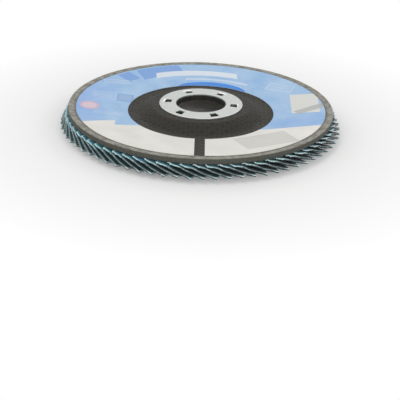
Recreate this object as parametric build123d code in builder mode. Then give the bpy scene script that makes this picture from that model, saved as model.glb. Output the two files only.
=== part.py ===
from build123d import *
import os
from math import cos, radians, sin, sqrt, tan

# A 125 mm flap disc for an angle grinder: abrasive cloth flaps glued in an overlapping ring under a
# dished fibreglass plate. It lies label side up, with the bore on the Z axis. Z = 0 is the face of the
# steel arbor ring on which the grinder's flange seats, and the flaps work downwards. Lengths are in
# millimetres and angles in degrees.

os.makedirs("parts", exist_ok=True)

# ---------------------------------------------------------------- driving dimensions
# Flat steel arbor ring, stamped from sheet, with prongs pressed into the plate from the label side
bore_diameter = 22.23
ring_diameter = 37.0
ring_sheet = 0.6
ring_edge_chamfer = 0.15
prong_count = 6
prong_circle_diameter = 29.4
prong_width = 3.1
prong_length = 2.0
prong_tip_width = 0.9
window_length = 3.0
prong_start_angle = 53.0

# Fibreglass backing plate: a flat raised hub, a short cone down to its foot and a dished face
plate_diameter = 118.0
plate_thickness = 2.5
hub_top_diameter = 44.0
hub_foot_diameter = 56.0
hub_rise = 3.8
hub_bend_radius = 3.0
face_angle = 5.5

# Paper label, a split ring glued on the dished face
label_outer_diameter = 111.0
label_inner_diameter = 65.0
label_thickness = 0.15
label_split = 4.4
label_split_angle = -90.0

# Cloth flaps
disc_diameter = 125.0
flap_count = 72
flaps_per_node = 2
flap_width = 16.0
flap_length = 22.5
flap_thickness = 0.92
flap_angle = 17.0
flap_skew = 13.0

# Resin that holds the flap heads to the plate
bond_line = 0.2
resin_inner_diameter = 72.0
resin_outer_diameter = 114.0
resin_bead = 1.5

# Named fits
prong_fit = 0.1
flap_seat_fit = 0.03

# ---------------------------------------------------------------- derived sizes
bore_radius = bore_diameter / 2
ring_radius = ring_diameter / 2
prong_circle_radius = prong_circle_diameter / 2
prong_root_radius = prong_circle_radius + window_length / 2
prong_depth = prong_length - ring_sheet
plate_radius = plate_diameter / 2
hub_top_radius = hub_top_diameter / 2
hub_foot_radius = hub_foot_diameter / 2
hub_top_z = -ring_sheet
hub_foot_z = hub_top_z - hub_rise
face_slope = tan(radians(face_angle))
plate_depth = plate_thickness / cos(radians(face_angle))
flap_pitch_angle = 360 / flap_count
flap_half_run = flap_width / 2 * cos(radians(flap_angle))
flap_drop = flap_width * sin(radians(flap_angle))
flap_out = Vector(1, 0).rotate(Axis.Z, -flap_skew)
flap_across = Vector(0, 1).rotate(Axis.Z, -flap_skew)
tail_tip_out = flap_length * cos(radians(face_angle)) + flap_drop * sin(radians(face_angle))
tail_tip_run = flap_out * tail_tip_out + flap_across * flap_half_run
flap_root_reach = sqrt((disc_diameter / 2) ** 2 - tail_tip_run.Y**2) - tail_tip_run.X
label_inner_radius = label_inner_diameter / 2
label_outer_radius = label_outer_diameter / 2
resin_inner_radius = resin_inner_diameter / 2
resin_outer_radius = resin_outer_diameter / 2


def face_z(radius):
    """Height of the plate's dished upper face at a radius."""
    return hub_foot_z + (radius - hub_foot_radius) * face_slope


def under_z(radius):
    """Height of the plate's underside at a radius."""
    return face_z(radius) - plate_depth


# ---------------------------------------------------------------- arbor ring
# One prong, bent down at the outer edge of its window
with BuildPart() as prong:
    with BuildSketch(Plane.YZ.offset(prong_root_radius)):
        with BuildLine():
            Polyline(
                (-prong_width / 2, -ring_sheet / 2),
                (-prong_width / 2, -ring_sheet),
                (-prong_tip_width / 2, -ring_sheet - prong_depth),
                (prong_tip_width / 2, -ring_sheet - prong_depth),
                (prong_width / 2, -ring_sheet),
                (prong_width / 2, -ring_sheet / 2),
                close=True,
            )
        make_face()
    extrude(amount=ring_sheet)

with BuildPart() as arbor_ring:
    with BuildSketch():
        Circle(ring_radius)
        Circle(bore_radius, mode=Mode.SUBTRACT)
    extrude(amount=-ring_sheet)
    rim_edges = arbor_ring.edges().filter_by(GeomType.CIRCLE).group_by(SortBy.RADIUS)[-1]
    chamfer(rim_edges.sort_by(Axis.Z)[-1], ring_edge_chamfer)
    # Windows that the prongs were bent down out of
    with PolarLocations(prong_circle_radius, prong_count, start_angle=prong_start_angle):
        Box(window_length, prong_width, 3 * ring_sheet, mode=Mode.SUBTRACT)
    with PolarLocations(0, prong_count, start_angle=prong_start_angle):
        add(prong.part)
arbor_ring.part.label = "arbor_ring"
export_step(arbor_ring.part, "parts/arbor_ring.step")

# ---------------------------------------------------------------- backing plate
with BuildPart() as backing_plate:
    with BuildSketch(Plane.XZ):
        # The moulded sheet is laid out past the rim, then trimmed upright
        with BuildLine():
            sheet_line = Polyline(
                (bore_radius, hub_top_z),
                (hub_top_radius, hub_top_z),
                (hub_foot_radius, hub_foot_z),
                (plate_radius + plate_thickness, face_z(plate_radius + plate_thickness)),
            )
            offset(sheet_line, amount=plate_thickness, kind=Kind.INTERSECTION, side=Side.RIGHT)
        profile = make_face()
        hub_edge = profile.vertices().sort_by_distance((hub_top_radius, hub_top_z))[0]
        fillet(hub_edge, hub_bend_radius)
        with Locations((bore_radius, 0)):
            Rectangle(
                plate_radius - bore_radius,
                plate_diameter,
                align=(Align.MIN, Align.CENTER),
                mode=Mode.INTERSECT,
            )
    revolve(axis=Axis.Z)
    # Blind slots that the ring's prongs bite into
    with PolarLocations(prong_root_radius + ring_sheet / 2, prong_count, start_angle=prong_start_angle):
        with Locations((0, 0, hub_top_z)):
            Box(
                ring_sheet + 2 * prong_fit,
                prong_width + 2 * prong_fit,
                2 * (prong_depth + prong_fit),
                mode=Mode.SUBTRACT,
            )
backing_plate.part.label = "backing_plate"
export_step(backing_plate.part, "parts/backing_plate.step")

# ---------------------------------------------------------------- label
with BuildPart() as label:
    with BuildSketch(Plane.XZ):
        with BuildLine():
            Polyline(
                (label_inner_radius, face_z(label_inner_radius)),
                (label_outer_radius, face_z(label_outer_radius)),
                (label_outer_radius, face_z(label_outer_radius) + label_thickness),
                (label_inner_radius, face_z(label_inner_radius) + label_thickness),
                close=True,
            )
        make_face()
    revolve(axis=Axis.Z)
    with PolarLocations(label_outer_radius, 1, start_angle=label_split_angle):
        Box(label_outer_radius, label_split, plate_diameter, mode=Mode.SUBTRACT)
label.part.label = "label"
export_step(label.part, "parts/label.step")

# ---------------------------------------------------------------- flaps
# Section of a flap, seen along its length from the axis: local x runs anticlockwise round the rim and
# local y is up. The head is the high edge on the left, and the flap runs down to its tail on the right.
# Each flap is turned from the radius, so that its head is tucked under the plate's rim and its tail
# stands clear of it.
head_root = Vector(flap_root_reach, 0) - flap_across * flap_half_run
flap_root_plane = Plane(
    origin=(flap_root_reach, 0, under_z(head_root.length) - bond_line),
    x_dir=flap_across,
    z_dir=flap_out * cos(radians(face_angle)) + Vector(0, 0, sin(radians(face_angle))),
)
head = Vector(-flap_half_run, 0)
tail = Vector(flap_half_run, -flap_drop)
down = Vector(-sin(radians(flap_angle)), -cos(radians(flap_angle)))


def flap_strip(depth, fit=0):
    """A strip that follows a flap's upper face, a given depth thick, and larger than the flap by a fit."""
    upper_head = head + Vector(-fit, fit)
    upper_tail = tail + Vector(fit, fit)
    with BuildPart() as strip:
        with BuildSketch(flap_root_plane.offset(-fit)):
            with BuildLine():
                Polyline(
                    upper_head,
                    upper_tail,
                    upper_tail + down * depth,
                    upper_head + down * depth,
                    close=True,
                )
            make_face()
        extrude(amount=flap_length + fit)
    return strip.part


flap = flap_strip(flap_thickness)
node_angle = flaps_per_node * flap_pitch_angle
for node_index in range(flap_count // flaps_per_node):
    with BuildPart() as flap_pair:
        with PolarLocations(0, flaps_per_node, start_angle=node_index * node_angle, angular_range=node_angle):
            add(flap)
    flap_pair.part.label = f"flap_pair_{node_index + 1:02d}"
    export_step(flap_pair.part, f"parts/{flap_pair.part.label}.step")

# ---------------------------------------------------------------- resin bed
# A ring under the plate, with a ratchet of ramps in which the flap heads are bedded. Each cut is as
# deep as a flap is wide, so that nothing of the ring is left below a flap
with BuildPart() as resin_bed:
    with BuildSketch(Plane.XZ):
        with BuildLine():
            Polyline(
                (resin_inner_radius, under_z(resin_inner_radius)),
                (resin_outer_radius, under_z(resin_outer_radius)),
                (resin_outer_radius, under_z(resin_inner_radius) - resin_bead),
                (resin_inner_radius, under_z(resin_inner_radius) - resin_bead),
                close=True,
            )
        make_face()
    revolve(axis=Axis.Z)
    with PolarLocations(0, flap_count):
        add(flap_strip(flap_width, flap_seat_fit), mode=Mode.SUBTRACT)
resin_bed.part.label = "resin_bed"
export_step(resin_bed.part, "parts/resin_bed.step")
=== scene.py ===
import math

import bmesh
import bpy
import numpy as np
from mathutils import Matrix, Vector


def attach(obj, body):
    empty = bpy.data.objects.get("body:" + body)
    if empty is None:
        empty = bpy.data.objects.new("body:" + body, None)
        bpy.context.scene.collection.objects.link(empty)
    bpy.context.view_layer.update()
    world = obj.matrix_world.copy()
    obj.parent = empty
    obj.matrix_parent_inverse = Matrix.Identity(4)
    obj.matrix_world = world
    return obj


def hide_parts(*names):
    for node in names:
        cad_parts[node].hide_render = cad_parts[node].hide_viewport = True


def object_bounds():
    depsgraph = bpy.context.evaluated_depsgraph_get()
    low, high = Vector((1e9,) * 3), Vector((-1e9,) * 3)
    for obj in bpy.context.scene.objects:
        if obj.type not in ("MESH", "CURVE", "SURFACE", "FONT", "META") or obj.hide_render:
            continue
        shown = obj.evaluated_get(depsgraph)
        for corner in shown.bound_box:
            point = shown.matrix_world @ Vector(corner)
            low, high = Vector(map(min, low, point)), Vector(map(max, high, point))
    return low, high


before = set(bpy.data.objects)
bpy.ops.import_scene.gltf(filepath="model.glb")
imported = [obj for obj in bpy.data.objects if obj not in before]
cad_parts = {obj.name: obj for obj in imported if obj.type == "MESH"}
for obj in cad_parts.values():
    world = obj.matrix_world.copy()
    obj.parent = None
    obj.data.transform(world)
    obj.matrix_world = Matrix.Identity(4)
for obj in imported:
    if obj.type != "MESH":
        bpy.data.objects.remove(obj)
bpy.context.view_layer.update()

# Lengths in this script are millimetres, as in the CAD source, and become metres in Shape.piece().
# The floor, the lights and the camera are in metres.
MM = 0.001

# ---------------------------------------------------------------- the CAD part's sizes
BORE_RADIUS = 11.115
RING_RADIUS = 18.5
RING_SHEET = 0.6
PRONG_COUNT = 6
PRONG_CIRCLE_RADIUS = 14.7
PRONG_LENGTH = 2.0
PRONG_WIDTH = 3.1
PRONG_TIP_WIDTH = 0.9
PRONG_START = 53.0
WINDOW_LENGTH = 3.0
PLATE_RADIUS = 59.0
PLATE_THICKNESS = 2.5
HUB_TOP_RADIUS = 22.0
HUB_FOOT_RADIUS = 28.0
HUB_RISE = 3.8
FACE_ANGLE = math.radians(5.5)
LABEL_INNER = 32.5
LABEL_OUTER = 55.5
LABEL_THICKNESS = 0.15
LABEL_SPLIT = 4.4
RESIN_INNER = 36.0
BOND_LINE = 0.2
DISC_RADIUS = 62.5
FLAP_COUNT = 72
FLAPS_PER_NODE = 2
FLAP_WIDTH = 16.0
FLAP_LENGTH = 22.5
FLAP_ANGLE = math.radians(17)
FLAP_SKEW = math.radians(13)

HUB_TOP_Z = -RING_SHEET
HUB_FOOT_Z = HUB_TOP_Z - HUB_RISE
FLAP_HALF_RUN = FLAP_WIDTH / 2 * math.cos(FLAP_ANGLE)
FLAP_DROP = FLAP_WIDTH * math.sin(FLAP_ANGLE)
TAIL_TIP_OUT = FLAP_LENGTH * math.cos(FACE_ANGLE) + FLAP_DROP * math.sin(FACE_ANGLE)
TAIL_TIP_X = TAIL_TIP_OUT * math.cos(FLAP_SKEW) + FLAP_HALF_RUN * math.sin(FLAP_SKEW)
TAIL_TIP_Y = FLAP_HALF_RUN * math.cos(FLAP_SKEW) - TAIL_TIP_OUT * math.sin(FLAP_SKEW)
FLAP_ROOT_REACH = math.sqrt(DISC_RADIUS**2 - TAIL_TIP_Y**2) - TAIL_TIP_X
HEAD_ROOT_RADIUS = math.hypot(
    FLAP_ROOT_REACH - FLAP_HALF_RUN * math.sin(FLAP_SKEW), FLAP_HALF_RUN * math.cos(FLAP_SKEW)
)
WINDOW_INNER = PRONG_CIRCLE_RADIUS - WINDOW_LENGTH / 2
WINDOW_OUTER = PRONG_CIRCLE_RADIUS + WINDOW_LENGTH / 2

# ---------------------------------------------------------------- sizes of the materials' detail
YARN_PITCH = 0.84
ROVING_PITCH = 2.1
PRINT_EDGE = 0.12


def face_z(radius):
    """Height of the plate's dished upper face."""
    return HUB_FOOT_Z + (radius - HUB_FOOT_RADIUS) * math.tan(FACE_ANGLE)


def under_z(radius):
    """Height of the plate's underside."""
    return face_z(radius) - PLATE_THICKNESS / math.cos(FACE_ANGLE)


# ---------------------------------------------------------------- meshes
def placed(name, data):
    """A new object in the scene."""
    thing = bpy.data.objects.new(name, data)
    bpy.context.scene.collection.objects.link(thing)
    return thing


class Shape:
    """Points, quads, material slots and cloth coordinates gathered for one piece."""

    def __init__(self):
        self.points = []
        self.quads = []
        self.slots = []
        self.coords = []
        self.count = 0

    def add(self, points, quads, slots=0, coords=None):
        """Adds points (n, 3) in millimetres and quads (m, 4) that index them."""
        points = np.asarray(points, float).reshape(-1, 3)
        quads = np.asarray(quads, int).reshape(-1, 4)
        self.points.append(points)
        self.quads.append(quads + self.count)
        self.slots.append(np.broadcast_to(slots, len(quads)))
        self.coords.append(np.zeros_like(points) if coords is None else np.reshape(coords, (-1, 3)))
        self.count += len(points)

    def piece(self, name, materials, sharp=40.0):
        """Makes the object, smooth but for edges sharper than the angle, and rides it on the root."""
        points = np.concatenate(self.points) * MM
        quads = np.concatenate(self.quads)
        mesh = bpy.data.meshes.new(name)
        mesh.vertices.add(len(points))
        mesh.vertices.foreach_set("co", points.ravel())
        mesh.loops.add(quads.size)
        mesh.loops.foreach_set("vertex_index", quads.ravel())
        mesh.polygons.add(len(quads))
        mesh.polygons.foreach_set("loop_start", np.arange(0, quads.size, 4))
        for material in materials:
            mesh.materials.append(material)
        mesh.polygons.foreach_set("material_index", np.concatenate(self.slots))
        mesh.update(calc_edges=True)
        mesh.attributes.new("cloth", "FLOAT_VECTOR", "POINT").data.foreach_set(
            "vector", np.concatenate(self.coords).ravel()
        )
        mesh.polygons.foreach_set("use_smooth", np.ones(len(quads), bool))
        shell = bmesh.new()
        shell.from_mesh(mesh)
        loose = [point for point in shell.verts if not point.link_faces]
        bmesh.ops.delete(shell, geom=loose, context="VERTS")
        bmesh.ops.recalc_face_normals(shell, faces=shell.faces)
        shell.to_mesh(mesh)
        shell.free()
        mesh.set_sharp_from_angle(angle=math.radians(sharp))
        mesh.validate()
        piece = placed(name, mesh)
        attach(piece, "root")
        return piece


def grid_quads(rows, columns, wrap=False):
    """Quads of a grid of rows x columns points, stored row by row, closed round the columns if wrap."""
    index = np.arange(rows * columns).reshape(rows, columns)
    if wrap:
        index = np.hstack([index, index[:, :1]])
    corners = (index[:-1, :-1], index[:-1, 1:], index[1:, 1:], index[1:, :-1])
    return np.stack([corner.ravel() for corner in corners], axis=1)


def seam_quads(rows, columns):
    """Quads that join the first row of a wrapped grid to its last."""
    first = np.arange(columns)
    onward = np.roll(first, -1)
    last = (rows - 1) * columns
    return np.stack([first, onward, last + onward, last + first], axis=1)


def ramp(value, start, end):
    """0 at the start and before it, rising evenly to 1 at the end and past it."""
    return np.clip((value - start) / (end - start), 0, 1)


def degrees_from_prong(angles):
    """How far angles in radians lie from the middle of the nearest prong, in degrees."""
    step = 360 / PRONG_COUNT
    turned = np.degrees(angles) - PRONG_START
    return np.abs((turned + step / 2) % step - step / 2)


def ring_points(radii, heights, angles):
    """Points of a surface of revolution: arrays of one shape, or that broadcast to one shape."""
    radii, heights, angles = np.broadcast_arrays(radii, heights, angles)
    return np.stack([radii * np.cos(angles), radii * np.sin(angles), heights], axis=-1)


def rounded(corners, radii, steps=6):
    """A polyline through corners, with each corner rounded to its radius, as an array (n, 2)."""
    out = [corners[0]]
    for before, corner, after, radius in zip(corners, corners[1:], corners[2:], radii):
        before, corner, after = map(np.array, (before, corner, after))
        inward = (before - corner) / np.linalg.norm(before - corner)
        onward = (after - corner) / np.linalg.norm(after - corner)
        half = math.acos(np.clip(inward @ onward, -1, 1)) / 2
        reach = radius / math.tan(half)
        start, end = corner + inward * reach, corner + onward * reach
        for k in range(steps + 1):
            f = k / steps
            out.append((1 - f) ** 2 * start + 2 * f * (1 - f) * corner + f**2 * end)
    out.append(corners[-1])
    return np.array(out, float)


def resampled(line, step):
    """The polyline with points no further apart than step."""
    out = [line[0]]
    for a, b in zip(line, line[1:]):
        pieces = max(1, math.ceil(np.linalg.norm(b - a) / step))
        out += [a + (b - a) * (k + 1) / pieces for k in range(pieces)]
    return np.array(out)


def smooth_noise(x, y, seed, size):
    """Smooth value noise between -1 and 1 over a plane, with features of the given size."""
    table = np.random.default_rng(seed).uniform(-1, 1, (64, 64))
    u, v = np.asarray(x) / size + 17.3, np.asarray(y) / size + 31.7
    i, j = np.floor(u).astype(int), np.floor(v).astype(int)
    fu, fv = u - i, v - j
    fu, fv = fu * fu * (3 - 2 * fu), fv * fv * (3 - 2 * fv)
    near = table[i % 64, j % 64] * (1 - fu) + table[(i + 1) % 64, j % 64] * fu
    far = table[i % 64, (j + 1) % 64] * (1 - fu) + table[(i + 1) % 64, (j + 1) % 64] * fu
    return near * (1 - fv) + far * fv


# ---------------------------------------------------------------- materials
def tint(red, green, blue):
    """The linear colour of an sRGB one given in steps of 0 to 255."""
    steps = [c / 255 for c in (red, green, blue)]
    return [c / 12.92 if c <= 0.04045 else ((c + 0.055) / 1.055) ** 2.4 for c in steps] + [1.0]


class Looks:
    """Builds one node material."""

    def __init__(self, name):
        self.material = bpy.data.materials.new(name)
        self.material.use_nodes = True
        self.tree = self.material.node_tree
        self.tree.nodes.clear()

    def node(self, kind, *inputs, out=0, **settings):
        """Adds a node, sets its properties, feeds its first inputs in order and returns one output."""
        node = self.tree.nodes.new("ShaderNode" + kind)
        for key, value in settings.items():
            setattr(node, key, value)
        sockets = [s for s in node.inputs if s.enabled]
        for socket, value in zip(sockets, inputs):
            self.feed(socket, value)
        return [s for s in node.outputs if s.enabled][out]

    def feed(self, socket, value):
        """Links a socket to an output, or sets it to a plain value."""
        if isinstance(value, bpy.types.NodeSocket):
            self.tree.links.new(value, socket)
        elif value is not None:
            socket.default_value = value

    def math(self, operation, *values, clamp=False):
        return self.node("Math", *values, operation=operation, use_clamp=clamp)

    def mix(self, factor, a, b):
        """Mixes two colours."""
        node = self.tree.nodes.new("ShaderNodeMix")
        node.data_type = "RGBA"
        for index, value in ((0, factor), (6, a), (7, b)):
            self.feed(node.inputs[index], value)
        return node.outputs[2]

    def coats(self, colour, *layers):
        """Lays tints over a colour in turn. A layer is its mask, red, green and blue."""
        for mask, *steps in layers:
            colour = self.mix(mask, colour, tint(*steps))
        return colour

    def span(self, value, low, high, to_low=0.0, to_high=1.0):
        """Maps low..high to to_low..to_high, held at the ends."""
        return self.node("MapRange", value, low, high, to_low, to_high)

    def noise(self, vector, scale, detail=2.0, roughness=0.5):
        return self.node("TexNoise", vector, scale, detail, roughness)

    def cells(self, vector, scale, out=0):
        """Voronoi cells: the distance from each cell's middle, or with out=1 its random colour."""
        return self.node("TexVoronoi", vector, scale, out=out)

    def scaled(self, vector, *factors):
        """The vector times three factors."""
        return self.node("VectorMath", vector, factors, operation="MULTIPLY")

    def object_mm(self):
        """Object coordinates in millimetres."""
        return self.scaled(self.node("TexCoord", out=3), 1 / MM, 1 / MM, 1 / MM)

    def distance(self, x, y):
        """The distance of X and Y from the origin."""
        squares = [self.math("POWER", part, 2.0) for part in (x, y)]
        return self.math("SQRT", self.math("ADD", *squares))

    def product(self, *values):
        """The product of two or more values."""
        result = values[0]
        for value in values[1:]:
            result = self.math("MULTIPLY", result, value)
        return result

    def cloth_mm(self):
        """The cloth coordinates that a piece's points carry."""
        return self.node("Attribute", attribute_name="cloth", out=1)

    def split(self, vector):
        """The three parts of a vector."""
        part = self.tree.nodes.new("ShaderNodeSeparateXYZ")
        self.feed(part.inputs[0], vector)
        return tuple(part.outputs)

    def bump(self, height, distance, normal=None):
        """A bump that stands the distance proud, in millimetres, where the height is 1."""
        node = self.tree.nodes.new("ShaderNodeBump")
        node.inputs["Distance"].default_value = distance * MM
        self.feed(node.inputs["Height"], height)
        self.feed(node.inputs["Normal"], normal)
        return node.outputs[0]

    def end(self, surface, kind="Material"):
        """Links the surface to the tree's output."""
        out = self.tree.nodes.new("ShaderNodeOutput" + kind)
        self.feed(out.inputs[0], surface)

    def shade(self, **sockets):
        """Ends the material with a Principled shader."""
        shader = self.tree.nodes.new("ShaderNodeBsdfPrincipled")
        for name, value in sockets.items():
            self.feed(shader.inputs[name.replace("_", " ")], value)
        self.end(shader.outputs[0])
        return self.material


def cloth_looks():
    """Teal resin-filled cloth: a plain weave that shows through, worn pale towards its cut edges, with
    painted shade under the next flap.
    """
    looks = Looks("flap_cloth")
    cloth = looks.cloth_mm()
    across, along, tone = looks.split(cloth)
    yarn = 2 * math.pi / YARN_PITCH
    weave = looks.product(*(looks.math("SINE", looks.product(way, yarn)) for way in (across, along)))
    cloudy = looks.noise(looks.object_mm(), 0.5, 3.0)
    grain = looks.noise(looks.object_mm(), 4.0)
    colour = looks.coats(
        looks.mix(tone, tint(28, 146, 156), tint(58, 146, 184)),
        (looks.span(cloudy, 0.45, 0.75, 0.0, 0.6), 22, 96, 108),
        (looks.span(weave, -0.6, 0.9, 0.0, 0.25), 110, 178, 188),
        # Painted shade: darker where the next flap covers the cloth
        (looks.span(across, 5.6, 7.4), 24, 60, 68),
    )
    to_side = looks.math("MINIMUM", across, looks.math("SUBTRACT", FLAP_WIDTH, across))
    to_end = looks.math("SUBTRACT", FLAP_LENGTH, along)
    to_edge = looks.math("MINIMUM", to_side, to_end)
    ragged = looks.math("ADD", to_edge, looks.span(grain, 0.3, 0.7, -0.35, 0.2))
    colour = looks.mix(looks.span(ragged, 0.0, 0.38, 0.9, 0.0), colour, tint(196, 220, 220))
    relief = looks.bump(grain, 0.06, normal=looks.bump(weave, 0.05))
    roughness = looks.span(grain, 0.3, 0.7, 0.42, 0.6)
    return looks.shade(Base_Color=colour, Roughness=roughness, Normal=relief, Sheen_Weight=0.15)


def frayed_looks():
    """Cut cloth edges and loose yarn ends: pale cotton, darkened here and there by resin, with painted
    highlights at the head and tail ends and painted shade under the next flap and on the tail face.
    """
    looks = Looks("frayed_edge")
    across, along, height = looks.split(looks.cloth_mm())
    place = looks.object_mm()
    blotch = looks.noise(place, 0.9, 3.0)
    fibre = looks.noise(place, 7.0)
    # Painted shade along the middle of the edge, where the next flap covers it
    middle = looks.product(looks.span(across, 5.4, 7.4), looks.span(across, 15.2, 13.4), 0.6)
    # Painted highlight: whiter towards the head and tail ends
    head, tail = looks.span(across, 2.4, 5.0, 0.92, 0.0), looks.span(across, 13.6, 15.2, 0.0, 0.9)
    # Painted shade on the tail's cut face
    painted_tail_face_shade = looks.product(looks.span(across, 15.84, 15.96), looks.span(along, 22.45, 22.1), 0.75)
    ragged = looks.math("ADD", height, looks.span(blotch, 0.3, 0.7, -0.1, 0.12))
    colour = looks.coats(
        looks.mix(looks.span(blotch, 0.36, 0.6), tint(82, 104, 108), tint(216, 236, 236)),
        (looks.span(fibre, 0.4, 0.7, 0.0, 0.4), 64, 96, 102),
        (middle, 70, 98, 100),
        (looks.math("MAXIMUM", head, tail), 226, 250, 252),
        (painted_tail_face_shade, 62, 72, 74),
        (looks.span(ragged, -0.24, -0.36, 0.0, 0.88), 44, 52, 54),
        (looks.span(along, 2.0, 10.0, 0.6, 0.0), 58, 66, 66),
    )
    return looks.shade(
        Base_Color=colour, Roughness=0.85, Normal=looks.bump(fibre, 0.05), Sheen_Weight=0.2
    )


def grit_looks():
    """Abrasive grains in dark blue-grey size coat, with a few grains that glint."""
    looks = Looks("grit_coat")
    place = looks.object_mm()
    grain = looks.cells(place, 2.6)
    red, green, blue = looks.split(looks.cells(place, 2.6, out=1))
    fine = looks.noise(place, 6.0)
    colour = looks.coats(
        looks.mix(looks.span(red, 0.1, 0.9), tint(26, 30, 34), tint(56, 66, 72)),
        (looks.span(green, 0.82, 0.95), 96, 112, 118),
        (looks.span(grain, 0.3, 0.75, 0.0, 0.8), 18, 22, 25),
    )
    relief = looks.bump(fine, 0.05, normal=looks.bump(looks.math("SUBTRACT", 1.0, grain), 0.22))
    roughness = looks.span(blue, 0.75, 0.95, 0.62, 0.28)
    return looks.shade(Base_Color=colour, Roughness=roughness, Normal=relief)


def weave_height(looks, place, pitch):
    """Plain weave of flat rovings lying along X and Y: 0 in the gaps to 1 on the crowns."""
    x, y, _ = looks.split(place)
    turns = [looks.product(way, math.pi / pitch) for way in (x, y)]
    sign = looks.product(*(looks.math("SINE", turn) for turn in turns))
    leans = [looks.math("ABSOLUTE", looks.math("COSINE", turn)) for turn in turns]
    ridge = looks.math("MAXIMUM", *leans)
    return looks.span(looks.math("ADD", looks.product(sign, 0.3), ridge), 0.2, 1.2)


def fibreglass_looks():
    """Dark resin over coarse glass cloth, with rubbed spots towards the rim, and pale dust and a painted
    sheen on the rim's flat faces.
    """
    looks = Looks("fibreglass")
    place = looks.object_mm()
    x, y, _ = looks.split(place)
    radius = looks.distance(x, y)
    weave = weave_height(looks, place, ROVING_PITCH)
    cloud = looks.noise(place, 0.16, 4.0, 0.6)
    speck = looks.noise(place, 2.2, 3.0, 0.65)
    hair = looks.noise(looks.scaled(place, 1.4, 9.0, 4.0), 1.0)
    facing = looks.math("ABSOLUTE", looks.split(looks.node("NewGeometry", out=1))[2])
    rim = looks.span(radius, 54.5, 57.0)
    colour = looks.coats(
        looks.mix(looks.span(cloud, 0.3, 0.7), tint(34, 33, 28), tint(50, 48, 42)),
        (looks.span(weave, 0.35, 0.95, 0.0, 0.3), 72, 70, 62),
        (looks.span(speck, 0.6, 0.76, 0.0, 0.4), 112, 110, 100),
        (looks.span(hair, 0.66, 0.74, 0.0, 0.25), 130, 128, 118),
        (looks.product(rim, looks.span(speck, 0.3, 0.7, 0.35, 0.8)), 110, 110, 103),
    )
    # Dust and painted sheen: paler on the rim's flat faces than on its side
    dust_and_sheen = looks.product(rim, looks.span(facing, 0.35, 0.85), looks.span(speck, 0.3, 0.65, 0.5, 0.95))
    patch = looks.noise(place, 0.42, 3.0, 0.6)
    pale = looks.mix(looks.span(patch, 0.36, 0.62), tint(140, 136, 124), tint(184, 183, 174))
    colour = looks.mix(dust_and_sheen, colour, pale)
    relief = looks.bump(speck, 0.1, normal=looks.bump(weave, 0.16))
    roughness = looks.span(cloud, 0.3, 0.7, 0.6, 0.75)
    return looks.shade(Base_Color=colour, Roughness=roughness, Normal=relief, Specular_IOR_Level=0.22)


def steel_looks():
    """Zinc-plated sheet: satin, with faint turning marks, clouds, a few scratches and a painted
    highlight on the windows' bent lips.
    """
    looks = Looks("ring_steel")
    place = looks.object_mm()
    x, y, z = looks.split(place)
    radius = looks.distance(x, y)
    turned = looks.noise(looks.node("CombineXYZ", looks.product(radius, 5.0), z, 0.0), 1.0, 3.0)
    cloud = looks.noise(place, 0.35, 4.0, 0.6)
    rub = looks.noise(looks.scaled(place, 0.5, 6.0, 1.0), 1.0)
    facing = looks.split(looks.node("NewGeometry", out=1))[2]
    # Painted highlight on the bent lip at each window's outer edge
    painted_lip_highlight = looks.product(
        looks.span(radius, WINDOW_OUTER - 0.1, WINDOW_OUTER),
        looks.span(facing, 0.99, 0.9),
        looks.span(z, -0.7, -0.5),
        looks.span(facing, 0.2, 0.5),
    )
    colour = looks.coats(
        looks.mix(looks.span(cloud, 0.3, 0.7), tint(165, 169, 166), tint(183, 187, 184)),
        (looks.span(turned, 0.4, 0.7, 0.0, 0.25), 146, 148, 147),
        (looks.span(rub, 0.64, 0.72, 0.0, 0.35), 206, 208, 206),
        (painted_lip_highlight, 246, 247, 244),
    )
    relief = looks.bump(rub, 0.03, normal=looks.bump(turned, 0.03))
    roughness = looks.span(cloud, 0.3, 0.7, 0.36, 0.5)
    return looks.shade(Base_Color=colour, Metallic=0.75, Roughness=roughness, Normal=relief)


def resin_looks():
    """Cured epoxy: grey-brown, slightly glossy, cloudy, with pin holes darkened by painted shade."""
    looks = Looks("cured_resin")
    place = looks.object_mm()
    cloud = looks.noise(place, 0.3, 4.0, 0.6)
    pin = looks.cells(place, 1.4)
    colour = looks.mix(looks.span(cloud, 0.3, 0.7), tint(98, 95, 84), tint(140, 136, 120))
    # Painted shade in the pin holes, which are only dents in the bump
    colour = looks.mix(looks.span(pin, 0.1, 0.22, 0.7, 0.0), colour, tint(52, 50, 44))
    relief = looks.bump(looks.span(pin, 0.05, 0.25), 0.15, normal=looks.bump(cloud, 0.5))
    roughness = looks.span(cloud, 0.3, 0.7, 0.22, 0.42)
    return looks.shade(Base_Color=colour, Roughness=roughness, Normal=relief)


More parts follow.
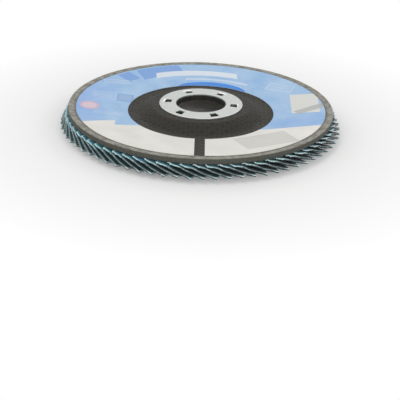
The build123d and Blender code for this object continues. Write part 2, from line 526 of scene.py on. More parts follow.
class Print(Looks):
    """Plain fields of colour printed on the label, laid out in millimetres from the bore's centre."""

    def __init__(self, name):
        super().__init__(name)
        self.x, self.y, _ = self.split(self.object_mm())
        self.radius = self.distance(self.x, self.y)
        self.angle = self.math("ARCTAN2", self.y, self.x)

    def inside(self, value, half):
        """1 where the value is nearer to 0 than half, with an edge as soft as print."""
        gap = self.math("SUBTRACT", half, self.math("ABSOLUTE", value))
        return self.span(gap, -PRINT_EDGE, PRINT_EDGE)

    def block(self, x, y, width, height, turn, colour, strength=1.0, lines=None):
        """A rectangle about a centre, turned by an angle. lines = (pitch, share) rules it across."""
        c, s = math.cos(math.radians(turn)), math.sin(math.radians(turn))
        dx, dy = self.math("SUBTRACT", self.x, x), self.math("SUBTRACT", self.y, y)
        u = self.math("ADD", self.product(dx, c), self.product(dy, s))
        v = self.math("SUBTRACT", self.product(dy, c), self.product(dx, s))
        mask = self.product(self.inside(u, width / 2), self.inside(v, height / 2))
        if lines:
            pitch, share = lines
            row = self.math("PINGPONG", v, pitch / 2)
            mask = self.product(mask, self.span(row, pitch * share / 2, 0.0))
        self.lay(mask, colour, strength)

    def oval(self, x, y, width, height, colour, strength=1.0):
        """An ellipse about a centre."""
        u = self.math("DIVIDE", self.math("SUBTRACT", self.x, x), width / 2)
        v = self.math("DIVIDE", self.math("SUBTRACT", self.y, y), height / 2)
        self.lay(self.span(self.distance(u, v), 1.05, 0.95), colour, strength)

    def band(self, inner, outer, start, end, colour, strength=1.0):
        """Part of a ring between two radii and two angles in degrees."""
        middle, half = math.radians(start + end) / 2, math.radians(end - start) / 2
        turn = self.math("SUBTRACT", self.angle, middle)
        centre = (inner + outer) / 2
        ends = self.inside(self.product(turn, self.radius), half * centre)
        rings = self.inside(self.math("SUBTRACT", self.radius, centre), (outer - inner) / 2)
        self.lay(self.product(ends, rings), colour, strength)

    def crescent(self, inner, depth, start, end, colour):
        """A sickle along a radius, deepest midway between two angles in degrees."""
        middle, half = math.radians(start + end) / 2, math.radians(end - start) / 2
        turn = self.math("DIVIDE", self.math("SUBTRACT", self.angle, middle), half)
        swell = self.math("SUBTRACT", 1.0, self.math("POWER", turn, 2.0), clamp=True)
        edge = self.math("ADD", self.product(self.math("SQRT", swell), depth), inner)
        inward = self.math("SUBTRACT", edge, self.radius)
        self.lay(self.span(inward, -PRINT_EDGE, PRINT_EDGE), colour)

    def lay(self, mask, colour, strength=1.0):
        """Prints a colour where the mask is 1."""
        if strength < 1.0:
            mask = self.product(mask, strength)
        self.colour = self.mix(mask, self.colour, colour)


def label_looks():
    """Printed paper: a blue field behind, a warm white one in front, and plain blocks and bars."""
    looks = Print("label_print")
    place = looks.object_mm()
    cloud = looks.noise(place, 0.09, 3.0, 0.55)
    fibre = looks.noise(place, 3.5, 3.0, 0.6)
    blue = looks.mix(looks.span(cloud, 0.3, 0.7), tint(138, 184, 231), tint(178, 211, 243))
    white = looks.mix(looks.span(cloud, 0.35, 0.7), tint(243, 241, 234), tint(235, 233, 226))
    looks.colour = blue
    near = looks.product(looks.span(looks.x, 22.0, 42.0), looks.span(looks.y, 2.0, -12.0))
    looks.lay(near, tint(96, 152, 232), 0.28)
    looks.lay(looks.span(looks.x, -38.0, -53.0), tint(122, 164, 236), 0.45)
    looks.band(44.0, 54.6, 101.0, 126.0, tint(92, 148, 224), 0.7)
    looks.band(46.0, 54.6, 129.0, 137.0, tint(92, 148, 224), 0.7)
    looks.crescent(LABEL_INNER, 4.0, 52.0, 109.0, tint(14, 132, 230))
    # Plain shapes: x, y, width, height and turn of a block, or radii and angles of a band
    pale = tint(232, 240, 248)
    looks.band(43.2, 48.4, 68.5, 118.0, pale, 0.9)
    looks.band(38.6, 40.2, 57.0, 101.0, pale, 0.6)
    looks.block(-39.5, 29.8, 12.0, 5.4, 8.0, pale, 0.6, (1.8, 0.55))
    looks.block(-45.0, 14.0, 9.0, 7.2, 0.0, pale, 0.55, (1.8, 0.5))
    looks.block(-34.5, 12.0, 7.5, 9.0, 0.0, tint(84, 142, 206), 0.5)
    looks.block(-34.5, 12.0, 5.5, 6.4, 0.0, pale, 0.5, (1.6, 0.5))
    looks.block(-41.0, -8.5, 13.0, 3.6, 0.0, pale, 0.6, (1.8, 0.55))
    looks.oval(-49.6, -1.3, 8.8, 9.4, tint(222, 178, 196), 0.85)
    looks.oval(-49.6, -1.3, 6.6, 7.0, tint(226, 206, 216), 0.85)
    looks.block(36.6, 29.0, 12.4, 7.4, -25.0, pale, 0.55)
    looks.block(36.6, 29.0, 11.4, 6.4, -25.0, blue, 0.9)
    looks.block(36.6, 29.0, 9.0, 3.6, -25.0, pale, 0.5, (1.8, 0.5))
    looks.block(47.0, 9.5, 12.6, 22.0, 0.0, tint(226, 227, 222))
    looks.block(49.0, 3.0, 15.0, 4.4, 32.0, tint(176, 178, 176), 0.8)
    # The white field's border, which runs at three slopes across the label
    left = looks.span(looks.x, -26.0, -37.0, -19.5, -22.0)
    far = looks.span(looks.x, -37.0, -51.0, -16.0, -22.0)
    right = looks.span(looks.x, 28.0, 52.0, -20.0, -17.4)
    side = looks.math("GREATER_THAN", looks.x, 0.0)
    step = looks.math("LESS_THAN", looks.x, -37.0)
    border = looks.node("Mix", step, looks.node("Mix", side, left, right), far)
    below = looks.math("SUBTRACT", border, looks.y)
    looks.lay(looks.span(below, -PRINT_EDGE, PRINT_EDGE), white)
    looks.block(28.0, -34.0, 24.0, 15.0, 24.0, tint(196, 196, 190), 0.55)
    looks.block(28.0, -34.0, 21.0, 12.0, 24.0, tint(224, 223, 216), 0.7, (2.4, 0.5))
    looks.block(-30.0, -33.0, 15.0, 5.0, -38.0, tint(206, 206, 206), 0.35, (2.0, 0.5))
    colour = looks.mix(looks.span(fibre, 0.35, 0.75, 0.0, 0.08), looks.colour, tint(250, 250, 250))
    relief = looks.bump(fibre, 0.03)
    roughness = looks.span(cloud, 0.3, 0.7, 0.4, 0.52)
    return looks.shade(Base_Color=colour, Roughness=roughness, Normal=relief, Specular_IOR_Level=0.25)


def paper_looks():
    """The label's cut edge and glued back: bare pale paper."""
    looks = Looks("label_paper")
    fibre = looks.noise(looks.object_mm(), 5.0, 3.0)
    colour = looks.mix(looks.span(fibre, 0.3, 0.7), tint(206, 204, 196), tint(232, 230, 222))
    return looks.shade(Base_Color=colour, Roughness=0.85, Normal=looks.bump(fibre, 0.04))


flap_looks = [cloth_looks(), frayed_looks(), grit_looks()]

# ---------------------------------------------------------------- flaps
FLAP_DEPTH = 0.86
# How far each row down a flap's cut edge stands out, and how deep it lies
EDGE_ROWS = [(0.05, 0.10), (0.08, 0.28), (0.03, 0.50), (-0.06, 0.68)]
YARN_DEPTH = 0.12
GRIT_INSET = 0.16
GRIT_RELIEF = 0.07
# The bulge behind a flap's head: its mean height, and how it swells and fades once round the disc
BULGE_MEAN = 0.22
BULGE_SWING = 0.25
BULGE_LEAD = math.radians(60)
BULGE_ACROSS = 4.6
BULGE_WIDTH = 2.6
EDGE_WAVE = 0.13
CURLED_SHARE = 0.45
PLATE_CLEARANCE = 0.06
CLOTH_SLOT, EDGE_SLOT, GRIT_SLOT = 0, 1, 2

# A flap's grid, from its head across to its tail and from its root along to its tip, finer by the edges
across_lines = np.concatenate([
    np.arange(0, 2.6, 0.5),
    np.arange(3.0, 9.4, 1.1),
    np.arange(9.7, FLAP_WIDTH - 0.2, 0.5),
    [FLAP_WIDTH],
])
along_lines = np.concatenate([
    np.arange(0, 17.6, 0.72),
    np.arange(18.0, FLAP_LENGTH - 0.2, 0.45),
    [FLAP_LENGTH],
])


def flap_bend(across, along, habit):
    """How far a point of a flap lies off the flat, upwards, from the flap's own random habit."""
    reach = np.clip(along / FLAP_LENGTH, 0, None)
    lift = habit["lean"] * reach**2 + habit["twist"] * (across / FLAP_WIDTH - 0.5) * reach**2
    turns = across / habit["wave_length"] + habit["phase"]
    lift = lift + habit["wave"] * reach * np.sin(2 * math.pi * turns)
    lift = lift + habit["tail"] * ramp(across, 9.0, FLAP_WIDTH) ** 2 * reach**1.5
    rough = EDGE_WAVE * smooth_noise(across, along * 0.4, habit["seed"], 1.9)
    lift = lift + ramp(along, 18.5, FLAP_LENGTH) * rough
    crown = np.exp(-(((across - BULGE_ACROSS) / BULGE_WIDTH) ** 2))
    lift = lift + habit["bulge"] * crown * ramp(along, 17.5, 21.0)
    head = ramp(across, 3.4, 0) ** 2 * ramp(along, 19.3, FLAP_LENGTH) ** 2
    tail = ramp(across, 13.2, FLAP_WIDTH) ** 2 * ramp(along, 19.5, FLAP_LENGTH) ** 2
    return lift + habit["curl"] * head + habit["corner"] * tail


def flap_spot(across, along, up):
    """Outward, sideways and height, in millimetres, of a place on a flap whose root lies along X."""
    run = -FLAP_HALF_RUN + across * math.cos(FLAP_ANGLE) + up * math.sin(FLAP_ANGLE)
    rise = -across * math.sin(FLAP_ANGLE) + up * math.cos(FLAP_ANGLE)
    head_z = under_z(HEAD_ROOT_RADIUS) - BOND_LINE
    ahead = along * math.cos(FACE_ANGLE) - rise * math.sin(FACE_ANGLE)
    high = head_z + along * math.sin(FACE_ANGLE) + rise * math.cos(FACE_ANGLE)
    out = FLAP_ROOT_REACH + ahead * math.cos(FLAP_SKEW) + run * math.sin(FLAP_SKEW)
    side = run * math.cos(FLAP_SKEW) - ahead * math.sin(FLAP_SKEW)
    return out, side, high


def flap_place(across, along, up, index, habit):
    """Points in millimetres for places on a flap: across from its head, along from its root, and up.

    Under the plate and just past its rim, a flap's bend is held below the plate.
    """
    across, along, up = np.broadcast_arrays(across, along, up)
    skewed = across + habit["shift"] + (along - FLAP_LENGTH / 2) * habit["skew"]
    longer = along * (1 + habit["stretch"] / FLAP_LENGTH)
    lift = flap_bend(across, along, habit)
    out, side, high = flap_spot(skewed, longer, 0.0)
    radius = np.hypot(out, side)
    room = (under_z(radius) - PLATE_CLEARANCE - high) / math.cos(FLAP_ANGLE)
    pressed = np.minimum(lift, room)
    lift = pressed + (lift - pressed) * ramp(radius, PLATE_RADIUS + 0.1, PLATE_RADIUS + 0.8)
    out, side, high = flap_spot(skewed, longer, up + lift)
    turn = 2 * math.pi * index / FLAP_COUNT
    x = out * math.cos(turn) - side * math.sin(turn)
    y = out * math.sin(turn) + side * math.cos(turn)
    return np.stack([x, y, high], axis=-1)


def flap_habit(rng):
    """One flap's departures from the perfect flap, in millimetres."""
    ranges = {
        "lean": (-0.12, 0.12),
        "twist": (-0.16, 0.16),
        "wave": (0.01, 0.05),
        "wave_length": (9, 15),
        "phase": (0, 1),
        "tail": (0.08, 0.24),
        "curl": (0.3, 0.6) if rng.random() < CURLED_SHARE else (-0.05, 0.2),
        "corner": (-0.22, 0.3),
        "shift": (-0.14, 0.14),
        "skew": (-0.007, 0.007),
        "stretch": (-0.3, 0.12),
        "tone": (0, 1),
    }
    habit = {name: rng.uniform(*ends) for name, ends in ranges.items()}
    habit["seed"] = int(rng.integers(1, 9000))
    return habit


def edge_loop():
    """The grid's outline, from the tip of the head edge: rows, columns and outward directions."""
    rows, columns = len(across_lines), len(along_lines)
    loop = [(0, j, -1, 0) for j in range(columns - 1, 0, -1)]
    loop += [(i, 0, 0, -1) for i in range(rows - 1)]
    loop += [(rows - 1, j, 1, 0) for j in range(columns - 1)]
    loop += [(i, columns - 1, 0, 1) for i in range(rows - 1, 0, -1)]
    return np.array(loop)


def add_flap(shape, index, habit, rng):
    """Adds the slab of one flap: cloth above, grit below and cut edges all round."""
    across, along = np.meshgrid(across_lines, along_lines, indexing="ij")
    rows, columns = across.shape
    tone = habit["tone"]
    loop = edge_loop()
    corner_rows, corner_columns = loop[:, 0], loop[:, 1]
    points, coords = [], []

    def lay(across, along, up, third):
        """Adds points with their cloth coordinates."""
        points.append(flap_place(across, along, up, index, habit).reshape(-1, 3))
        coords.append(np.stack(np.broadcast_arrays(across, along, third), -1).reshape(-1, 3))

    lay(across, along, 0.02 * smooth_noise(across, along, index, 1.6), tone)
    edge_across, edge_along = across_lines[corner_rows], along_lines[corner_columns]
    ripple = rng.uniform(-0.05, 0.07, len(loop))
    for outward, depth in EDGE_ROWS:
        jag = outward + ripple + rng.uniform(-0.02, 0.02, len(loop))
        row_across = edge_across + jag * loop[:, 2]
        row_along = edge_along + jag * loop[:, 3]
        up = -depth + rng.uniform(-0.02, 0.02, len(loop))
        lay(row_across, row_along, up, up)
    under_across = FLAP_WIDTH / 2 + (across - FLAP_WIDTH / 2) * (1 - 2 * GRIT_INSET / FLAP_WIDTH)
    under_along = FLAP_LENGTH / 2 + (along - FLAP_LENGTH / 2) * (1 - 2 * GRIT_INSET / FLAP_LENGTH)
    relief = rng.uniform(-GRIT_RELIEF, GRIT_RELIEF, across.shape)
    lay(under_across, under_along, relief - FLAP_DEPTH, tone)
    top = grid_quads(rows, columns)
    bottom_start = rows * columns + len(EDGE_ROWS) * len(loop)
    outline = corner_rows * columns + corner_columns
    strips = [outline]
    strips += [rows * columns + k * len(loop) + np.arange(len(loop)) for k in range(len(EDGE_ROWS))]
    strips += [outline + bottom_start]
    quads, slots = [top[:, ::-1], top + bottom_start], [CLOTH_SLOT, GRIT_SLOT]
    for k, (upper, lower) in enumerate(zip(strips, strips[1:])):
        quads.append(np.stack([upper, lower, np.roll(lower, -1), np.roll(upper, -1)], axis=1))
        slots.append(EDGE_SLOT if k < len(EDGE_ROWS) - 1 else GRIT_SLOT)
    slots = np.concatenate([np.full(len(q), slot) for q, slot in zip(quads, slots)])
    shape.add(np.concatenate(points), np.concatenate(quads), slots, np.concatenate(coords))


def add_yarns(shape, index, habit, start, outward, length, thick, rng):
    """Adds yarn ends that stand out of a cut edge. start and outward are (n, 2) across and along.

    A yarn is a four-sided tube through three sections, closed at its root and its end.
    """
    count = len(start)
    side = np.stack([-outward[:, 1], outward[:, 0]], axis=1)
    lean = rng.normal(0, 0.35, count)
    rise = rng.normal(0.05, 0.3, count)
    depth = rng.uniform(-0.32, -0.16, count)
    points, coords = [], []
    for fraction, width in ((-0.25, 1.05), (0.5, 0.9), (1.0, 0.35)):
        reach = (length * fraction)[:, None]
        middle = start + outward * reach + side * (lean * length * max(fraction, 0) ** 2)[:, None]
        up = depth + rise * length * max(fraction, 0) ** 2
        for along_side, along_up in ((1, 1), (-1, 1), (-1, -1), (1, -1)):
            spot = middle + side * (thick * width * along_side)[:, None]
            height = up + thick * width * along_up * 0.9
            points.append(flap_place(spot[:, 0], spot[:, 1], height, index, habit))
            coords.append(np.stack([spot[:, 0], spot[:, 1], np.full(count, -YARN_DEPTH)], -1))
    points, coords = np.stack(points, axis=1), np.stack(coords, axis=1)
    quads = np.concatenate([grid_quads(3, 4, wrap=True), [[3, 2, 1, 0], [8, 9, 10, 11]]])
    every = quads + (np.arange(count) * points.shape[1])[:, None, None]
    shape.add(points, every, EDGE_SLOT, coords)


def fray_flap(shape, index, habit, rng):
    """Yarn ends along a flap's outer edge, its head near the tip, and its tail."""
    tip = np.arange(0.2, FLAP_WIDTH - 0.1, YARN_PITCH / 2)
    head = np.arange(12.5, FLAP_LENGTH - 0.1, YARN_PITCH / 2)
    tail = np.arange(0.3, FLAP_LENGTH - 0.1, YARN_PITCH / 2)
    # Where the yarns of an edge start, which way they point and how long they are
    edges = [
        (np.stack([tip, np.full_like(tip, FLAP_LENGTH)], 1), (0, 1), 0.26),
        (np.stack([np.zeros_like(head), head], 1), (-1, 0), 0.26),
        (np.stack([np.full_like(tail, FLAP_WIDTH), tail], 1), (1, 0), 0.2),
    ]
    for start, outward, typical in edges:
        start = start + rng.uniform(-0.08, 0.08, start.shape)
        outward = np.broadcast_to(outward, start.shape)
        near_head = np.exp(-np.hypot(start[:, 0], start[:, 1] - FLAP_LENGTH) / 1.6)
        length = typical * rng.uniform(0.4, 1.5, len(start)) * (1 + 1.6 * near_head)
        add_yarns(shape, index, habit, start, outward, length, rng.uniform(0.1, 0.17, len(start)), rng)


for node_index in range(FLAP_COUNT // FLAPS_PER_NODE):
    flaps = Shape()
    for flap_index in range(FLAPS_PER_NODE * node_index, FLAPS_PER_NODE * (node_index + 1)):
        rng = np.random.default_rng(4000 + flap_index)
        habit = flap_habit(rng)
        turned = 2 * math.pi * flap_index / FLAP_COUNT
        habit["bulge"] = BULGE_MEAN + BULGE_SWING * math.cos(turned + BULGE_LEAD)
        add_flap(flaps, flap_index, habit, rng)
        fray_flap(flaps, flap_index, habit, rng)
    pair = flaps.piece(f"cloth_flaps_{node_index + 1:02d}", flap_looks)
    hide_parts(f"flap_pair_{node_index + 1:02d}")

# ---------------------------------------------------------------- backing plate
PLATE_COLUMNS = 400
PLATE_STEP = 1.0
WEAVE_RELIEF = 0.05
# Pits in the hub, under the ring's windows
PIT_DEPTH = 1.5
PIT_HALF_LENGTH = 1.6
PIT_HALF_DEGREES = 5.8
foot_lean = math.atan2(HUB_RISE, HUB_FOOT_RADIUS - HUB_TOP_RADIUS)


def mitred(corner, before, after):
    """The corner's twin on the plate's underside. before and after are the slopes of its two runs."""
    normals = [np.array([math.sin(a), -math.cos(a)]) for a in (before, after)]
    middle = normals[0] + normals[1]
    return np.array(corner) + middle * PLATE_THICKNESS / (1 + normals[0] @ normals[1])


top_corner = (HUB_TOP_RADIUS, HUB_TOP_Z)
foot_corner = (HUB_FOOT_RADIUS, HUB_FOOT_Z)
upper_line = rounded(
    [(BORE_RADIUS, HUB_TOP_Z), top_corner, foot_corner, (PLATE_RADIUS, face_z(PLATE_RADIUS)),
     (PLATE_RADIUS, under_z(PLATE_RADIUS))],
    [3.0, 3.5, 0.5],
)
lower_line = rounded(
    [(PLATE_RADIUS, face_z(PLATE_RADIUS)), (PLATE_RADIUS, under_z(PLATE_RADIUS)),
     mitred(foot_corner, -foot_lean, FACE_ANGLE), mitred(top_corner, 0.0, -foot_lean),
     (BORE_RADIUS, HUB_TOP_Z - PLATE_THICKNESS), (BORE_RADIUS, HUB_TOP_Z)],
    [0.5, 1.6, 1.2, 0.2],
)
profile = resampled(np.concatenate([upper_line[:-1], lower_line[1:-1]]), PLATE_STEP)
plate_r = profile[:, :1]
plate_angles = np.arange(PLATE_COLUMNS) * 2 * math.pi / PLATE_COLUMNS
plate_points = ring_points(plate_r, profile[:, 1:], plate_angles)
plate_x, plate_y = plate_points[..., 0], plate_points[..., 1]
turn = math.pi / ROVING_PITCH
crowns = np.maximum(np.abs(np.cos(plate_x * turn)), np.abs(np.cos(plate_y * turn)))
crowns = crowns + 0.3 * np.sin(plate_x * turn) * np.sin(plate_y * turn)
rim_ease = ramp(plate_r, PLATE_RADIUS - 0.6, PLATE_RADIUS - 1.6) * ramp(plate_r, 19.0, 20.5)
lumps = smooth_noise(plate_x, plate_y, 5, 5.0) * 0.05 + (crowns - 0.8) * WEAVE_RELIEF
is_upper = (np.arange(len(profile)) < len(resampled(upper_line[:-1], PLATE_STEP)))[:, None]
under_window = np.abs(plate_r - PRONG_CIRCLE_RADIUS) < PIT_HALF_LENGTH
pits = under_window & (degrees_from_prong(plate_angles) < PIT_HALF_DEGREES) & is_upper
plate_points[..., 2] -= PIT_DEPTH * pits
plate_points[..., 2] += np.where(is_upper, 1, -1) * lumps * rim_ease - 0.03 * rim_ease * is_upper
plate_quads = grid_quads(len(profile), PLATE_COLUMNS, wrap=True)
plate_seam = seam_quads(len(profile), PLATE_COLUMNS)
plate = Shape()
plate.add(plate_points, np.concatenate([plate_quads, plate_seam])[:, ::-1])
moulded_plate = plate.piece("moulded_plate", [fibreglass_looks()])
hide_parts("backing_plate")

# ---------------------------------------------------------------- label
LABEL_COLUMNS = 340
LABEL_ROWS = 32
label_r = np.linspace(LABEL_INNER, LABEL_OUTER, LABEL_ROWS)[:, None]
half_gap = np.arcsin(LABEL_SPLIT / 2 / label_r)
turned = np.linspace(0, 1, LABEL_COLUMNS)
label_angle = -math.pi / 2 + half_gap + turned * (2 * math.pi - 2 * half_gap)
flat = ring_points(label_r, face_z(label_r), label_angle)
label_x, label_y = flat[..., 0], flat[..., 1]
bubbles = 0.05 + 0.04 * smooth_noise(label_x, label_y, 11, 7.0)
bubbles = bubbles + 0.02 * smooth_noise(label_x, label_y, 12, 2.2)
outer_ease = ramp(label_r, 47.0, LABEL_OUTER) ** 2
cockle = np.sin(11 * label_angle + 0.7) * smooth_noise(label_x, label_y, 13, 16.0)
ripples = 0.03 * outer_ease * (1 + cockle)
near_split = np.exp(-np.minimum(turned, 1 - turned) * 2 * math.pi * label_r / 3.0)
split_lift = 0.14 * near_split * np.where(turned < 0.5, outer_ease, 0.4)
glued = np.maximum(ramp(label_r, 54.6, 52.1), 0.1)
lift = (bubbles + ripples) * glued + split_lift
label = Shape()
upper = flat + np.stack([0 * lift, 0 * lift, lift + LABEL_THICKNESS], -1)
lower = flat + np.stack([0 * lift, 0 * lift, lift * 0.9], -1)
sheet_quads = grid_quads(LABEL_ROWS, LABEL_COLUMNS)
lower_start = LABEL_ROWS * LABEL_COLUMNS
index = np.arange(lower_start).reshape(LABEL_ROWS, LABEL_COLUMNS)
outline = np.concatenate([index[0, :-1], index[:-1, -1], index[-1, :0:-1], index[:0:-1, 0]])
onward = np.roll(outline, -1)
wall = np.stack([outline, outline + lower_start, onward + lower_start, onward], axis=1)
label.add(
    np.concatenate([upper.reshape(-1, 3), lower.reshape(-1, 3)]),
    np.concatenate([sheet_quads[:, ::-1], sheet_quads + lower_start, wall[:, ::-1]]),
    np.concatenate([np.zeros(len(sheet_quads), int), np.ones(len(sheet_quads) + len(wall), int)]),
)
paper_ring = label.piece("paper_ring", [label_looks(), paper_looks()])
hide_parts("label")

# ---------------------------------------------------------------- arbor ring
# One column of the ring's grid is one degree
RING_COLUMNS = 360
WINDOW_HALF_COLUMNS = 6.5
SHEARED_EDGE = 0.15
ROLLED_EDGE = 0.18
LIP_REACH = 0.8
LIP_DROP = 0.4
RING_DENTS = 0.02
# Radii of the grid's rows: in the windows, over their bent lips, and on the ring's two faces
window_rows = [WINDOW_INNER, 13.95, PRONG_CIRCLE_RADIUS, 15.45, WINDOW_OUTER]
lip_rows = [WINDOW_OUTER + LIP_REACH * share for share in (0.25, 0.5, 0.75, 1.0)]
upper_rows = [11.6, 12.1, 12.7] + window_rows + lip_rows + [17.3]
under_rows = [17.4, 16.8] + window_rows[::-1] + [12.6, 11.6]
ring_bore = [(BORE_RADIUS, -RING_SHEET), (BORE_RADIUS, 0.0), (11.5, 0.0)]
ring_rim = [(17.6, 0.0), (RING_RADIUS, 0.0), (RING_RADIUS, -RING_SHEET)]
ring_profile = np.concatenate([
    rounded(ring_bore, [SHEARED_EDGE], 3)[:-1],
    [(r, 0.0) for r in upper_rows],
    rounded(ring_rim, [ROLLED_EDGE])[1:],
    [(r, -RING_SHEET) for r in under_rows],
])
ring_r, ring_z = ring_profile[:, :1], ring_profile[:, 1:]
ring_angles = np.radians(np.arange(RING_COLUMNS) + 0.5)
ring_grid = ring_points(ring_r, ring_z, ring_angles)
in_window = degrees_from_prong(ring_angles) <= WINDOW_HALF_COLUMNS + 0.01
lip = ramp(ring_r, WINDOW_OUTER + LIP_REACH, WINDOW_OUTER) ** 2 * LIP_DROP
on_lip = (ring_z == 0.0) & (ring_r >= WINDOW_OUTER) & in_window
ring_grid[..., 2] -= np.where(on_lip, lip, 0)
dents = RING_DENTS * smooth_noise(ring_grid[..., 0], ring_grid[..., 1], 21, 3.0)
ring_grid[..., 2] += dents * (ring_r < RING_RADIUS - 0.3) * (ring_r > 11.5) - RING_DENTS
ring_quads = grid_quads(len(ring_profile), RING_COLUMNS, wrap=True)
row_of = np.repeat(np.arange(len(ring_profile) - 1), RING_COLUMNS)
column_of = np.tile(np.arange(RING_COLUMNS), len(ring_profile) - 1)
window_column = in_window & np.roll(in_window, -1)
middle_radius = (ring_profile[:-1, 0] + ring_profile[1:, 0]) / 2
window_row = (middle_radius > WINDOW_INNER) & (middle_radius < WINDOW_OUTER)
kept = ~(window_row[row_of] & window_column[column_of])
ring_seam = seam_quads(len(ring_profile), RING_COLUMNS)
top_start = next(k for k, (r, z) in enumerate(ring_profile) if r == WINDOW_INNER and z == 0)
top_end = top_start + len(window_rows) - 1
under_start = next(k for k, (r, z) in enumerate(ring_profile) if r == WINDOW_OUTER and z < 0)
under_end = under_start + len(window_rows) - 1
walls = []


def add_wall(flip, *places):
    """Adds a wall of a window between four places, (row, column), of the ring's grid."""
    wall = [row * RING_COLUMNS + column % RING_COLUMNS for row, column in places]
    walls.append(wall[::-1] if flip else wall)


for k in range(PRONG_COUNT):
    middle = PRONG_START + k * 360 / PRONG_COUNT - 0.5
    low, high = round(middle - WINDOW_HALF_COLUMNS), round(middle + WINDOW_HALF_COLUMNS)
    for j in range(low, high):
        for top, under, flip in ((top_start, under_end, False), (top_end, under_start, True)):
            add_wall(flip, (top, j), (under, j), (under, j + 1), (top, j + 1))
    for step in range(len(window_rows) - 1):
        top, under = top_start + step, under_end - step
        for j, flip in ((low, True), (high, False)):
            add_wall(flip, (top, j), (under, j), (under - 1, j), (top + 1, j))
ring_shape = Shape()
ring_shape.add(ring_grid, np.concatenate([ring_quads[kept][:, ::-1], ring_seam, walls]))

# The prongs: height and width of each section
prong_levels = [
    (-0.32, PRONG_WIDTH), (-RING_SHEET, PRONG_WIDTH), (-1.3, 2.0), (-PRONG_LENGTH, PRONG_TIP_WIDTH),
]
for k in range(PRONG_COUNT):
    angle = math.radians(PRONG_START + k * 360 / PRONG_COUNT)
    outward = np.array([math.cos(angle), math.sin(angle), 0])
    side = np.array([-math.sin(angle), math.cos(angle), 0])
    points = []
    for height, width in prong_levels:
        for reach, way in ((0, -1), (0, 1), (RING_SHEET, 1), (RING_SHEET, -1)):
            spot = outward * (WINDOW_OUTER + reach) + side * way * width / 2
            points.append(spot + np.array([0, 0, height]))
    caps = [[3, 2, 1, 0], [12, 13, 14, 15]]
    tongue = np.concatenate([grid_quads(len(prong_levels), 4, wrap=True), caps])
    ring_shape.add(points, tongue[:, ::-1])
pressed_ring = ring_shape.piece("pressed_ring", [steel_looks()], 35.0)
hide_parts("arbor_ring")

# ---------------------------------------------------------------- resin
resin = resin_looks()
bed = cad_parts["resin_bed"]
bed.data.materials.clear()
bed.data.materials.append(resin)

# Resin squeezed out past the flaps' roots, an uneven bead under the plate
BEAD_COLUMNS = 420
BEAD_ROWS = 14
BEAD_OFFSET = 0.9
BEAD_DEPTH = 0.75
BEAD_HALF_WIDTH = 1.15
BEAD_HALF_HEIGHT = 0.95
NOISE_RADIUS = 38.4
bead_angles = np.arange(BEAD_COLUMNS) * 2 * math.pi / BEAD_COLUMNS
round_angles = np.arange(BEAD_ROWS)[:, None] * 2 * math.pi / BEAD_ROWS
bead_x, bead_y = NOISE_RADIUS * np.cos(bead_angles), NOISE_RADIUS * np.sin(bead_angles)
swell = 1 + 0.22 * smooth_noise(bead_x, bead_y, 31, 4.0) + 0.1 * smooth_noise(bead_x, bead_y, 32, 1.5)
bead_middle = RESIN_INNER + BEAD_OFFSET + 0.25 * smooth_noise(bead_x, bead_y, 33, 6.0)
bead_r = bead_middle + np.cos(round_angles) * BEAD_HALF_WIDTH * swell
bead_z = under_z(RESIN_INNER) - BEAD_DEPTH + np.sin(round_angles) * BEAD_HALF_HEIGHT * swell
bead_quads = grid_quads(BEAD_ROWS, BEAD_COLUMNS, wrap=True)[:, ::-1]
bead = Shape()
bead.add(
    ring_points(bead_r, bead_z, bead_angles),
    np.concatenate([bead_quads, seam_quads(BEAD_ROWS, BEAD_COLUMNS)]),
)
resin_bead = bead.piece("resin_bead", [resin], 80.0)

# ---------------------------------------------------------------- floor, light and camera
FLOOR_SIZE = 4.0
# The floor is paint at the first radius, mostly white at the second and all white at the third
FLOOR_FADE = (0.045, 0.075, 0.13)
FLOOR_FADE_SHARE = 0.6
AMBIENT = 0.5

floor_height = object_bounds()[0].z
floor_mesh = bpy.data.meshes.new("floor")
half = FLOOR_SIZE / 2
corners = [(-half, -half, 0), (half, -half, 0), (half, half, 0), (-half, half, 0)]
floor_mesh.from_pydata(corners, [], [(0, 1, 2, 3)])
floor = placed("floor", floor_mesh)
floor.location.z = floor_height


def seen_rays(looks):
    """1 for what the camera sees, directly, mirrored or through glass."""
    path = looks.tree.nodes.new("ShaderNodeLightPath")
    seen = looks.math("MAXIMUM", path.outputs["Is Camera Ray"], path.outputs["Is Glossy Ray"])
    return looks.math("MAXIMUM", seen, path.outputs["Is Transmission Ray"])


def floor_looks():
    """Pale floor that keeps the shadow near the object and fades to the white background."""
    looks = Looks("floor")
    x, y, _ = looks.split(looks.node("TexCoord", out=3))
    radius = looks.distance(x, y)
    paint = looks.node("BsdfDiffuse", tint(238, 238, 237), 0.5)
    white = looks.node("Emission", tint(255, 255, 255), 1.0)
    start, middle, end = FLOOR_FADE
    near = looks.span(radius, start, middle, 0.0, FLOOR_FADE_SHARE)
    far = looks.span(radius, middle, end, 0.0, 1 - FLOOR_FADE_SHARE)
    share = looks.product(seen_rays(looks), looks.math("ADD", near, far))
    surface = looks.node("MixShader", share, paint, white)
    # From below, and for shadows, the floor is clear, so that the underside is lit and seen
    path = looks.tree.nodes.new("ShaderNodeLightPath")
    clear = looks.math("MAXIMUM", looks.node("NewGeometry", out=6), path.outputs["Is Shadow Ray"])
    surface = looks.node("MixShader", clear, surface, looks.node("BsdfTransparent"))
    looks.end(surface)
    return looks.material


floor_mesh.materials.append(floor_looks())

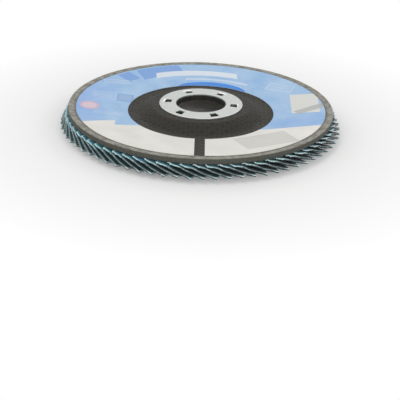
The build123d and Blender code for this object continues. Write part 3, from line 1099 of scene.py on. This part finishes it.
world = bpy.data.worlds.new("studio")
bpy.context.scene.world = world
world.use_nodes = True
sky = Looks.__new__(Looks)
sky.tree = world.node_tree
sky.tree.nodes.clear()
brightness = sky.span(seen_rays(sky), 0.0, 1.0, AMBIENT)
sky.end(sky.node("Background", tint(255, 255, 255), brightness), "World")


def softbox(name, place, size, power):
    """A square area light that faces the disc."""
    light = bpy.data.lights.new(name, "AREA")
    light.size = size
    light.energy = power
    lamp = placed(name, light)
    lamp.location = place
    lamp.rotation_euler = (-Vector(place)).to_track_quat("-Z", "Y").to_euler()


# A broad lamp from below, for views of the underside
under_light = bpy.data.lights.new("under_light", "SUN")
under_light.energy = 2.2
under_light.angle = math.radians(20)
under_lamp = placed("under_light", under_light)
under_lamp.rotation_euler = (math.radians(204), math.radians(10), 0.0)

softbox("key_light", (-0.45, -0.35, 1.0), 0.5, 2.35)
softbox("fill_light", (0.35, -0.75, 0.35), 0.6, 1.6)
softbox("back_light", (0.1, 0.7, 0.6), 0.6, 1.25)

# The camera's place, aim and focal length that fit the bore, ring, label and rim in the photograph
CAMERA_PLACE = (0.0, -0.5481, 0.2117)
CAMERA_PITCH = math.radians(25.34)
CAMERA_YAW = math.radians(0.104)
CAMERA_ROLL = math.radians(1.90)
FOCAL_PIXELS = 1314.3
IMAGE_PIXELS = 400
SENSOR = 36.0

forward = Vector((
    math.sin(CAMERA_YAW) * math.cos(CAMERA_PITCH),
    math.cos(CAMERA_YAW) * math.cos(CAMERA_PITCH),
    -math.sin(CAMERA_PITCH),
))
level = Vector((math.cos(CAMERA_YAW), -math.sin(CAMERA_YAW), 0.0))
upright = level.cross(forward)
right = level * math.cos(CAMERA_ROLL) + upright * math.sin(CAMERA_ROLL)
up = upright * math.cos(CAMERA_ROLL) - level * math.sin(CAMERA_ROLL)
camera_data = bpy.data.cameras.new("camera")
camera_data.sensor_width = SENSOR
camera_data.lens = FOCAL_PIXELS / IMAGE_PIXELS * SENSOR
camera_data.clip_start = 0.01
camera_data.clip_end = 20.0
camera = placed("camera", camera_data)
facing = Matrix((right, up, -forward)).transposed().to_4x4()
camera.matrix_world = Matrix.Translation(CAMERA_PLACE) @ facing
bpy.context.scene.camera = camera
bpy.context.scene.view_settings.view_transform = "Standard"
